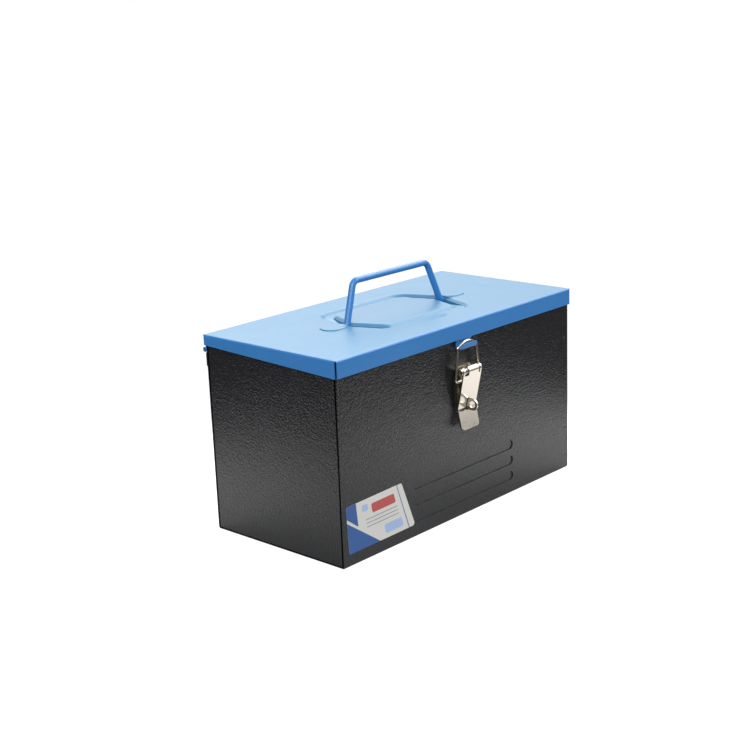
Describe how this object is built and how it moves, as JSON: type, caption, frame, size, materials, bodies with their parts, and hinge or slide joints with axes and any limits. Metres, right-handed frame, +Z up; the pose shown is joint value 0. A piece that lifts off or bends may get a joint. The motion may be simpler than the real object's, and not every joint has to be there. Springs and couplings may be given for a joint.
{
  "type": "toolbox",
  "caption": "Small folded-steel toolbox with a hinged lid, a fold-down wire carrying handle in a pressed groove, and a toggle latch with a padlock eye.",
  "frame": {"origin": "centre of the base, on the floor", "axes": "+X along the box to its right-hand end seen from the front, -Y to the front with the latch, +Z up"},
  "size_m": [0.3, 0.1632, 0.2018],
  "materials": {
    "body_paint": "glossy charcoal hammertone enamel",
    "lid_paint": "glossy blue enamel",
    "handle_paint": "glossy blue enamel",
    "nickel": "bright nickel plate",
    "bright_steel": "drawn steel wire"
  },
  "bodies": {
    "case": {"body_wrap": "body_paint", "end_panel_left": "body_paint", "end_panel_right": "body_paint", "hinge_leaf_body": "body_paint", "hinge_pin": "bright_steel", "latch_base": "nickel", "base_rivets": "nickel", "padlock_staple": "nickel", "lever_pin": "nickel", "latch_spring": "bright_steel"},
    "lid": {"lid_shell": "lid_paint", "hinge_leaf_lid": "lid_paint"},
    "handle": {"carry_handle": "handle_paint"},
    "lever": {"latch_lever": "nickel"},
    "bail": {"latch_bail": "nickel"}
  },
  "joints": [
    {"name": "lid_hinge", "type": "hinge", "parent": "case", "child": "lid", "pos_m": [0, 0.07431, 0.153], "axis": [-1, 0, 0], "range_deg": [0, 180]},
    {"name": "handle_fold", "type": "hinge", "parent": "lid", "child": "handle", "pos_m": [0, 0, 0.1631], "axis": [1, 0, 0], "range_deg": [-77.8, 88.8]},
    {"name": "lever_pivot", "type": "hinge", "parent": "case", "child": "lever", "pos_m": [0, -0.079, 0.1266], "axis": [-1, 0, 0], "range_deg": [0, 90], "stiffness_Nm_per_rad": 0.03, "springref_deg": -20.05},
    {"name": "bail_pivot", "type": "hinge", "parent": "lever", "child": "bail", "pos_m": [0, -0.077, 0.1185], "axis": [-1, 0, 0], "range_deg": [-68.4, 0]}
  ],
  "couplings": [
    {"joint": "bail_pivot", "follows": "lever_pivot", "ratio": -0.76}
  ]
}
